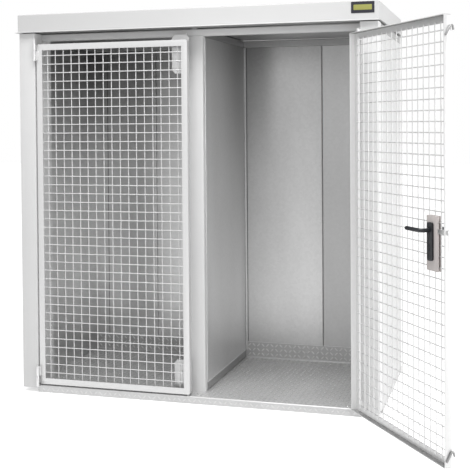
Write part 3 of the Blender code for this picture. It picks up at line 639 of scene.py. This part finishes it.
base_low, base_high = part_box("partition_base")
hems = [strip((x - HEM / 2, base_low.y, base_high.z - HEM),
              (x + HEM / 2, base_high.y, base_high.z + HEM), edge_highlight_zinc)
        for x in (base_low.x, base_high.x)]
hems += [strip((start + EDGE_SHORT, floor_high.y - EDGE_FRONT, floor_high.z - EDGE_FOOT),
               (end - EDGE_SHORT, floor_high.y - SEAT_GAP, floor_high.z - EDGE_TOP), edge_highlight_zinc)
         for start, end in ((floor_low.x, base_low.x), (base_high.x, floor_high.x))]
add_piece("hems_and_highlighted_edges", hems, "container")


# Joint shadows. A dark strip of painted shadow lies in the joint between each corner strip and
# the rear wall, and in the lap of the outer corner on that wall.
JOINT_SHADOW_WIDTH = 0.0028
JOINT_SHADOW_SUNK = 0.0004
LAP_X = 0.912
LAP_HALF = 0.0018
LAP_RISE = 0.0006
JOINT_SHADOW_DRIFT_MM = 25.0
# Painted shadow: a matt dark grey, uneven along its length.
joint_shadow, joint_shadow_tree, joint_shadow_shader = new_material("painted_shadow_of_the_joints", {"Roughness": 0.6})
joint_shadow_drift = add_node(joint_shadow_tree, "ShaderNodeTexNoise", {
    "Vector": add_node(joint_shadow_tree, "ShaderNodeTexCoord").outputs["Object"],
    "Scale": 1000 / JOINT_SHADOW_DRIFT_MM})
joint_shadow_tree.links.new(
    shade_between(joint_shadow_tree, joint_shadow_drift.outputs[0], "#3c3c3c", "#5a5a5a"),
    joint_shadow_shader.inputs["Base Color"])
strip_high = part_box("corner_strip_right")[1]
joint_shadows = []
for side in (-1, 1):
    near, far = sorted((side * strip_high.x, side * (strip_high.x + JOINT_SHADOW_WIDTH)))
    joint_shadows.append(strip((near, strip_high.y - JOINT_SHADOW_SUNK, floor_high.z),
                       (far, floor_high.y, strip_high.z), joint_shadow))
    joint_shadows.append(strip((side * LAP_X - LAP_HALF, floor_high.y - LAP_RISE, floor_high.z),
                       (side * LAP_X + LAP_HALF, floor_high.y + LAP_RISE, strip_high.z), joint_shadow))
add_piece("painted_shadow_lines_in_joints", joint_shadows, "container")


# Rivets. Blind rivets of zinc plated steel hold the cassettes to each other and to the posts,
# in upright rows on the outside, with two rows along each seam of the rear wall.
RIVET_R = 0.004
RIVET_RISE = 0.0016
RIVET_SEGMENTS = 16
RIVET_RINGS = 8
RIVET_PITCH = 0.236
RIVET_COUNT = 9
RIVET_FOOT = 0.110
REAR_ROWS = (-1.034, -0.578, -0.546, -0.016, 0.016, 0.546, 0.578, 1.034)
SIDE_ROWS = (-0.384, 0.434)


def make_rivet_tree():
    """An upright row of flat domes, facing +Y."""
    tree, given = new_tree("rivet_row", Count=3, Pitch=RIVET_PITCH, Radius=RIVET_R,
                           Rise=RIVET_RISE)
    step = add_node(tree, "ShaderNodeCombineXYZ", {2: given["Pitch"]})
    line = add_node(tree, "GeometryNodeMeshLine", {
        "Count": given["Count"], "Offset": step.outputs[0]})
    ball = add_node(tree, "GeometryNodeMeshUVSphere", {
        "Segments": RIVET_SEGMENTS, "Rings": RIVET_RINGS, "Radius": 1.0})
    size = add_node(tree, "ShaderNodeCombineXYZ", {
        0: given["Radius"], 1: given["Rise"], 2: given["Radius"]})
    heads = add_node(tree, "GeometryNodeInstanceOnPoints", {
        "Points": line.outputs[0], "Instance": ball.outputs["Mesh"], "Scale": size.outputs[0]})
    smooth = add_node(tree, "GeometryNodeSetShadeSmooth", {"Geometry": heads.outputs[0]})
    end_tree(tree, smooth.outputs[0], galvanised)
    return tree


rivet_tree = make_rivet_tree()
wall_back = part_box("back_panel_left")[1].y
wall_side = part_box("side_panel_right")[1].x
rivet_places = [Matrix.Translation((x, wall_back, RIVET_FOOT)) for x in REAR_ROWS]
rivet_places += [Matrix.Translation((side * wall_side, y, RIVET_FOOT))
                 @ Matrix.Rotation(math.pi / 2, 4, "Z") for side in (-1, 1) for y in SIDE_ROWS]
rivet_rows = []
for place in rivet_places:
    row = grow(rivet_tree, Count=RIVET_COUNT)
    row.transform(place)
    rivet_rows.append(row)
add_piece("wall_rivets", rivet_rows, "container")


# Roof. A folded pan in the same kind of coat as the frame, with a drip lip all round; it stands
# on spacers, so that gas can leave through the gap under it.

# Powder coated sheet, a shade greyer than the frame, as it lies open to the weather.
roof_coat = powder_coat("pale_grey_roof_coat", "#c0c0c0", "#cccccc", 0.40)
replace_softened(("roof_pan",), 0.0, roof_coat, "container")


# Plate. A plain aluminium plate with a printed dark rim and a blank field, held at its corners
# by four small rivets on the right of the roof's front.
PLATE_MIDDLE = (0.969, 2.172)
PLATE_HALF = (0.0615, 0.030)
PLATE_THICKNESS = 0.0018
PLATE_EDGE = 0.0004
PLATE_CORNER = 0.003
PLATE_SUNK = 0.0001
FASCIA_STEP = 0.012
FIELD_HALF = (0.0485, 0.014)
FIELD_THICKNESS = 0.0012
FIELD_EDGE = 0.0003
FIELD_SUNK = 0.0006
PLATE_RIVET_INSET = 0.0036
PLATE_RIVET_R = 0.0015
PLATE_RIVET_RISE = 0.0009
CORNER_STEPS = 5
PLATE_MERGE_GAP = 0.00001
PLATE_SHARP = 35
# Printed aluminium: the ink is nearly black and satin, with a little metal showing through.
plate_dark = new_material("dark_printed_aluminium", {
    "Base Color": srgb("#2b2a33"), "Roughness": 0.42, "Metallic": 0.2})[0]
# The blank field is printed a dull yellow green, which looks flat and dry.
plate_pale = new_material("blank_field_of_the_plate", {
    "Base Color": srgb("#9a9a52"), "Roughness": 0.5})[0]


def rounded_loop(half_width, half_height, radius):
    """A rectangle with rounded corners about the origin, anticlockwise."""
    x, y = half_width - radius, half_height - radius
    loop = []
    for quarter, (corner_x, corner_y) in enumerate(((x, y), (-x, y), (-x, -y), (x, -y))):
        for step in range(CORNER_STEPS + 1):
            angle = math.pi / 2 * (quarter + step / CORNER_STEPS)
            loop.append((corner_x + radius * math.cos(angle), corner_y + radius * math.sin(angle)))
    return loop


def moulded_plate(loops, thickness, edge, material):
    """A plate in the X-Z plane from y = 0 towards -Y, with holes and softly rounded edges."""
    curve = bpy.data.curves.new("plate", "CURVE")
    curve.dimensions = "2D"
    curve.fill_mode = "BOTH"
    curve.extrude = thickness / 2 - edge
    curve.bevel_depth = edge
    curve.bevel_resolution = 2
    curve.offset = -edge
    for loop in loops:
        spline = curve.splines.new("POLY")
        spline.points.add(len(loop) - 1)
        spline.use_cyclic_u = True
        for point, (x, z) in zip(spline.points, loop):
            point.co = (x, z, 0.0, 1.0)
    guide = bpy.data.objects.new("plate", curve)
    scene.collection.objects.link(guide)
    evaluated = guide.evaluated_get(bpy.context.evaluated_depsgraph_get())
    builder = bmesh.new()
    builder.from_mesh(bpy.data.meshes.new_from_object(evaluated))
    bpy.data.objects.remove(guide)
    bmesh.ops.remove_doubles(builder, verts=builder.verts, dist=PLATE_MERGE_GAP)
    bmesh.ops.recalc_face_normals(builder, faces=builder.faces)
    builder.transform(Matrix.Translation((0.0, -thickness / 2, 0.0)) @ UPRIGHT)
    return smooth_mesh(builder, "plate", material, PLATE_SHARP)


fascia_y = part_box("roof_pan")[0].y + FASCIA_STEP
plate_place = Matrix.Translation((PLATE_MIDDLE[0], fascia_y + PLATE_SUNK, PLATE_MIDDLE[1]))
plate = moulded_plate([rounded_loop(*PLATE_HALF, PLATE_CORNER)], PLATE_THICKNESS, PLATE_EDGE,
                      plate_dark)
plate.transform(plate_place)
plate_pieces = [plate]
rivet_x, rivet_z = (half - PLATE_RIVET_INSET for half in PLATE_HALF)
for x in (-rivet_x, rivet_x):
    for z in (-rivet_z, rivet_z):
        rivet = dome(PLATE_RIVET_R, PLATE_RIVET_RISE, plate_dark)
        rivet.transform(plate_place @ Matrix.Translation((x, PLATE_SUNK - PLATE_THICKNESS, z))
                        @ UPRIGHT)
        plate_pieces.append(rivet)
add_piece("plain_plate", plate_pieces, "container")
field = moulded_plate([rounded_loop(*FIELD_HALF, PLATE_CORNER)], FIELD_THICKNESS, FIELD_EDGE,
                      plate_pale)
field.transform(plate_place @ Matrix.Translation((0.0, FIELD_SUNK - PLATE_THICKNESS, 0.0)))
add_piece("plain_plate_field", [field], "container")


# Rail end caps. Pressed caps in the roof's coat are pushed into the open ends of the two rear
# rails and sit a little way in.
CAP_CLEARANCE = 0.0006
CAP_CORNER = 0.003
CAP_THICKNESS = 0.0014
CAP_EDGE = 0.0003
CAP_RECESS = 0.0004
caps = []
for rail in ("head_rail_back", "base_rail_back"):
    low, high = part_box(rail)
    middle = (low + high) / 2
    outline = rounded_loop((high.y - low.y) / 2 - CAP_CLEARANCE,
                           (high.z - low.z) / 2 - CAP_CLEARANCE, CAP_CORNER)
    for side in (-1, 1):
        cap = moulded_plate([outline], CAP_THICKNESS, CAP_EDGE, roof_coat)
        cap.transform(Matrix.Translation((side * (high.x - CAP_RECESS - CAP_THICKNESS),
                                          middle.y, middle.z))
                      @ Matrix.Rotation(side * math.pi / 2, 4, "Z"))
        caps.append(cap)
add_piece("rail_end_caps", caps, "container")


# Doors. An angle frame with mitred, welded corners, coated with bright zinc, and round wires of
# just under 6 mm, welded together every 50 mm and to the inside of the frame.
FRAME_EDGE = 0.0006
WIRE_RADIUS = 0.0029
WIRE_FLATS = 12
WIRE_SHARP = 50
WELD_LEAST = (1.15, 0.85, 1.15)
WELD_MOST = (1.6, 1.0, 1.6)
WELD_SEED = 7
MESH_PITCH = 0.050
MESH_COLUMNS = 17
MESH_ROWS = 38
FIRST_COLUMN = 0.070
FIRST_ROW = 0.118
ROW_SPAN = (0.032, 0.9045)
COLUMN_SPAN = (0.0765, 2.0075)
ROW_LAYER = 0.0248
COLUMN_LAYER = 0.0301
HINGE_LINES = {"left_door": ((-0.944, -0.518, 0.0), 0.0),
               "right_door": ((0.944, -0.518, 0.0), 125.4)}
# Which way along its own X axis each door lies from its hinge line.
DOOR_SIDES = {"left_door": 1.0, "right_door": -1.0}
# Painted shade on the level legs of the door frames: its grey, the size of its patches and their
# swing.
LEVEL_SHADE_GREY = "#3a3a3a"
LEVEL_SHADE_MM = 11.1
LEVEL_SHADE_SWING = 0.2
LEVEL_FROM = 0.6
LEVEL_TO = 0.9


def shade_level_faces(material, most):
    """Paints shade in patches on the level faces of a zinc, on those facing up and down alike."""
    tree = material.node_tree
    colour = tree.nodes["Principled BSDF"].inputs["Base Color"]
    facing = add_node(tree, "ShaderNodeSeparateXYZ", {
        0: add_node(tree, "ShaderNodeNewGeometry").outputs["Normal"]})
    steep = add_node(tree, "ShaderNodeMath", {0: facing.outputs["Z"]}, operation="ABSOLUTE")
    level = add_node(tree, "ShaderNodeMapRange", {
        "Value": steep.outputs[0], "From Min": LEVEL_FROM, "From Max": LEVEL_TO})
    patches = add_node(tree, "ShaderNodeTexNoise", {
        "Vector": add_node(tree, "ShaderNodeTexCoord").outputs["Object"],
        "Scale": 1000 / LEVEL_SHADE_MM, "Detail": 4.0})
    patchy_shade = add_node(tree, "ShaderNodeMapRange", {
        "Value": patches.outputs[0], "From Min": 0.3, "From Max": 0.7,
        "To Min": most - LEVEL_SHADE_SWING, "To Max": most + LEVEL_SHADE_SWING})
    share = add_node(tree, "ShaderNodeMath", {0: patchy_shade.outputs[0], 1: level.outputs[0]},
                     operation="MULTIPLY")
    shaded_colour = add_node(tree, "ShaderNodeMix", {
        0: share.outputs[0], 6: colour.links[0].from_socket, 7: srgb(LEVEL_SHADE_GREY)},
        data_type="RGBA")
    tree.links.new(shaded_colour.outputs[2], colour)
    return material


# Zinc coated angle: pale and half bright, with painted shade in grey patches on its level legs.
door_coat = shade_level_faces(zinc_sheet("zinc_coated_door_frame", "#d2d2d2", "#e2e2e2", 0.34, 0.48),
                         0.62)
for door in DOOR_SIDES:
    replace_softened((door + "_frame",), FRAME_EDGE, door_coat, door)
# Galvanised wire: the same pale zinc, drawn smooth, with a thin light along each wire.
wire_zinc = zinc_sheet("galvanised_wire", "#cccccc", "#e2e2e2", 0.34, 0.40)


def door_place(name):
    """Where a door's own frame lies: the origin on the hinge line, X along the door."""
    at, turn = HINGE_LINES[name]
    return Matrix.Translation(at) @ Matrix.Rotation(math.radians(turn), 4, "Z")


def make_wire_tree():
    """Rows and columns of round wire and the weld at each crossing, in the X-Z plane."""
    tree, given = new_tree("welded_mesh", Columns=3, Rows=3, Pitch=MESH_PITCH,
                           Wire_radius=WIRE_RADIUS, First_column=0.0, First_row=0.0,
                           Row_length=1.0, Row_middle=0.0, Column_length=1.0, Column_middle=0.0,
                           Row_layer=0.0, Column_layer=0.0, Side=1.0)
    across, along = grid_spans(tree, given)
    step, start_x, middle_x, reach = (
        add_node(tree, "ShaderNodeMath", {0: value, 1: given["Side"]},
                 operation="MULTIPLY").outputs[0]
        for value in (given["Pitch"], given["First column"], given["Row middle"], across))
    parts = []
    for count, start, offset, length, turn in (
            ("Rows", (middle_x, given["Row layer"], given["First row"]),
             (0.0, 0.0, given["Pitch"]), "Row length", (0.0, math.pi / 2, 0.0)),
            ("Columns", (start_x, given["Column layer"], given["Column middle"]),
             (step, 0.0, 0.0), "Column length", (0.0, 0.0, 0.0))):
        first = add_node(tree, "ShaderNodeCombineXYZ", dict(enumerate(start)))
        apart = add_node(tree, "ShaderNodeCombineXYZ", dict(enumerate(offset)))
        line = add_node(tree, "GeometryNodeMeshLine", {
            "Count": given[count], "Start Location": first.outputs[0],
            "Offset": apart.outputs[0]})
        wire = add_node(tree, "GeometryNodeMeshCylinder", {
            "Vertices": WIRE_FLATS, "Radius": given["Wire radius"], "Depth": given[length]})
        parts.append(add_node(tree, "GeometryNodeInstanceOnPoints", {
            "Points": line.outputs[0], "Instance": wire.outputs["Mesh"],
            "Rotation": turn}).outputs[0])
    crossings = add_node(tree, "GeometryNodeMeshGrid", {
        "Size X": across, "Size Y": along,
        "Vertices X": given["Columns"], "Vertices Y": given["Rows"]})
    centre_x, centre_z = (
        add_node(tree, "ShaderNodeMath", {0: span, 1: 0.5, 2: first},
                 operation="MULTIPLY_ADD").outputs[0]
        for span, first in ((reach, start_x), (along, given["First row"])))
    layers = add_node(tree, "ShaderNodeMath", {0: given["Row layer"], 1: given["Column layer"]},
                      operation="ADD")
    between = add_node(tree, "ShaderNodeMath", {0: layers.outputs[0], 1: 0.5},
                       operation="MULTIPLY")
    centre = add_node(tree, "ShaderNodeCombineXYZ", {
        0: centre_x, 1: between.outputs[0], 2: centre_z})
    upright = add_node(tree, "GeometryNodeTransform", {
        "Geometry": crossings.outputs["Mesh"], "Translation": centre.outputs[0],
        "Rotation": (math.pi / 2, 0.0, 0.0)})
    bead = add_node(tree, "GeometryNodeMeshIcoSphere", {
        "Radius": given["Wire radius"], "Subdivisions": 2})
    uneven = add_node(tree, "FunctionNodeRandomValue", {
        "Min": WELD_LEAST, "Max": WELD_MOST, "Seed": WELD_SEED}, data_type="FLOAT_VECTOR")
    parts.append(add_node(tree, "GeometryNodeInstanceOnPoints", {
        "Points": upright.outputs[0], "Instance": bead.outputs["Mesh"],
        "Scale": uneven.outputs[0]}).outputs[0])
    both = add_node(tree, "GeometryNodeJoinGeometry")
    for part in parts:
        tree.links.new(part, both.inputs[0])
    end_tree(tree, both.outputs[0], wire_zinc)
    return tree


wire_tree = make_wire_tree()
for door, side in DOOR_SIDES.items():
    wires = grow(wire_tree, Columns=MESH_COLUMNS, Rows=MESH_ROWS, First_column=FIRST_COLUMN,
                 First_row=FIRST_ROW, Row_length=ROW_SPAN[1] - ROW_SPAN[0],
                 Row_middle=(ROW_SPAN[0] + ROW_SPAN[1]) / 2,
                 Column_length=COLUMN_SPAN[1] - COLUMN_SPAN[0],
                 Column_middle=(COLUMN_SPAN[0] + COLUMN_SPAN[1]) / 2, Row_layer=ROW_LAYER,
                 Column_layer=COLUMN_LAYER, Side=side)
    wires.transform(door_place(door))
    wires.shade_smooth()
    wires.set_sharp_from_angle(angle=math.radians(WIRE_SHARP))
    add_piece(door + "_welded_wires", [wires], door,
              (door + "_mesh_rows", door + "_mesh_columns"))


# Hinges. Lift-off barrels turned from zinc plated bar: the post's half carries the pin, the
# door's half drops over it, and each is welded on by a short wing.
BARREL_EDGE = 0.0008
# Bright zinc plating: the smoothest metal here, with clear highlights along the barrels.
bright_zinc = zinc_sheet("zinc_plated_steel", "#d4d4d4", "#e6e6e6", 0.30, 0.80)
for door in DOOR_SIDES:
    replace_softened((door + "_upper_hinge_pin", door + "_lower_hinge_pin"), BARREL_EDGE,
                     bright_zinc, "container")
    replace_softened((door + "_upper_knuckle", door + "_lower_knuckle"), BARREL_EDGE,
                     bright_zinc, door)


# Edge bolts. Chamfered steel plates behind the free edge of the left door guide the bolts that
# hold it at the lintel and at the floor.
BOLT_EDGE = 0.0006
replace_softened(("left_door_upper_bolt", "left_door_lower_bolt"), BOLT_EDGE, door_coat,
                 "left_door")


# Lock. A steel case on the inside of the wires and a plate on the outside, both enamelled a
# warm grey, are screwed together through the mesh. Each side has a long black moulded
# escutcheon with a lever.
LOCK_EDGE = 0.0008
LATCH_EDGE = 0.0006
ESCUTCHEON_EDGE = 0.0014
ESCUTCHEON_X = -0.800
ESCUTCHEON_FACES = {"inside": 0.0504, "outside": 0.0087}
SCREW_HEIGHTS = (0.9555, 1.1065)
SCREW_R = 0.0034
SCREW_RISE = 0.0012
FITTING_SUNK = 0.0002
CYLINDER_Z = 1.010
CYLINDER_R = 0.0085
CYLINDER_STEPS = 24
CYLINDER_TAIL = 0.0245
CYLINDER_RISE = 0.0016
CYLINDER_EDGE = 0.0003
TAIL_R = 0.005
TAIL_STEPS = 8
KEY_SLOT_HALF = (0.0006, 0.004)
RUBBED_MM = 33.3
# The mould's grain is a few hundredths of a millimetre. It is drawn coarser, so that it shows.
MOULD_GRAIN_MM = 1.11
MOULD_GRAIN_DEPTH = 0.0001
MOULD_GRAIN_STRENGTH = 0.3
MOULD_GLOSS_SWING = 0.08


def moulding(name, code, roughness, metallic=0.0):
    """Moulded or cast black parts: a fine even grain, rubbed a little smoother in patches."""
    material, tree, _ = new_material(name, {"Base Color": srgb(code), "Metallic": metallic})
    place = add_node(tree, "ShaderNodeTexCoord").outputs["Object"]
    rubbed = add_node(tree, "ShaderNodeTexNoise", {
        "Vector": place, "Scale": 1000 / RUBBED_MM, "Detail": 3.0})
    finish_surface(material, rubbed.outputs[0], roughness, MOULD_GLOSS_SWING, MOULD_GRAIN_MM,
                   1.0, MOULD_GRAIN_DEPTH, MOULD_GRAIN_STRENGTH)
    return material


# Enamelled steel of the case: a warm mid grey with a soft gloss.
lock_coat = powder_coat("warm_grey_lock_enamel", "#c2bbb9", "#cec8c6", 0.45)
replace_softened(("lock_case", "lock_plate_outside"), LOCK_EDGE, lock_coat, "right_door")
replace_softened(("latch_bolt",), LATCH_EDGE, bright_zinc, "right_door")
replace_softened(("spindle",), 0.0, bright_zinc, "lever")
# Nylon: near black with a cool cast, satin from the mould.
black_moulding = moulding("black_moulded_nylon", "#1b1d22", 0.36)
# Blackened steel of the screws and the lock cylinder: dark, with a metal's narrow highlights.
blackened_steel = moulding("blackened_steel", "#3c3d40", 0.34, 0.8)
replace_softened(("escutcheon_inside", "escutcheon_outside"), ESCUTCHEON_EDGE, black_moulding,
                 "right_door")
replace_softened(("lever_inside", "lever_outside"), 0.0, black_moulding, "lever")


def arc(radius, height, start, turn, steps):
    """Points on an arc about a middle that lies at a height on the upright axis."""
    angles = [start + turn * step / steps for step in range(steps + 1)]
    return [(radius * math.cos(angle), height + radius * math.sin(angle)) for angle in angles]


def cylinder_outline():
    """The lock cylinder's face: a circle with a round-ended tail below it."""
    open_from = math.acos(TAIL_R / CYLINDER_R)
    return (arc(CYLINDER_R, 0.0, -open_from, math.pi + 2 * open_from, CYLINDER_STEPS)
            + arc(TAIL_R, TAIL_R - CYLINDER_TAIL, math.pi, math.pi, TAIL_STEPS))


slot_x, slot_z = KEY_SLOT_HALF
key_slot = [(-slot_x, -slot_z), (slot_x, -slot_z), (slot_x, slot_z), (-slot_x, slot_z)]
lock_fittings = []
for side, face in ESCUTCHEON_FACES.items():
    turn = Matrix.Rotation(math.pi if side == "inside" else 0.0, 4, "Z")
    seat = face - FITTING_SUNK if side == "inside" else face + FITTING_SUNK
    for height in SCREW_HEIGHTS:
        screw = dome(SCREW_R, SCREW_RISE, blackened_steel)
        screw.transform(Matrix.Translation((ESCUTCHEON_X, seat, height)) @ turn @ UPRIGHT)
        lock_fittings.append(screw)
    cylinder = moulded_plate([cylinder_outline(), key_slot], CYLINDER_RISE, CYLINDER_EDGE,
                             blackened_steel)
    cylinder.transform(Matrix.Translation((ESCUTCHEON_X, seat, CYLINDER_Z)) @ turn)
    lock_fittings.append(cylinder)
for fitting in lock_fittings:
    fitting.transform(door_place("right_door"))
add_piece("lock_cylinder_and_screws", lock_fittings, "right_door")


# Hooks. Round bars bent over at the knee and welded to the free edge of the right door; their
# zinc is older and duller than the rest.
HOOK_EDGE = 0.0008
# Old zinc: a mid grey that mirrors little.
dull_zinc = zinc_sheet("dull_zinc_of_the_hooks", "#8a8a8a", "#a6a6a6", 0.38, 0.55)
replace_softened(("right_door_upper_hook", "right_door_lower_hook"), HOOK_EDGE, dull_zinc,
                 "right_door")
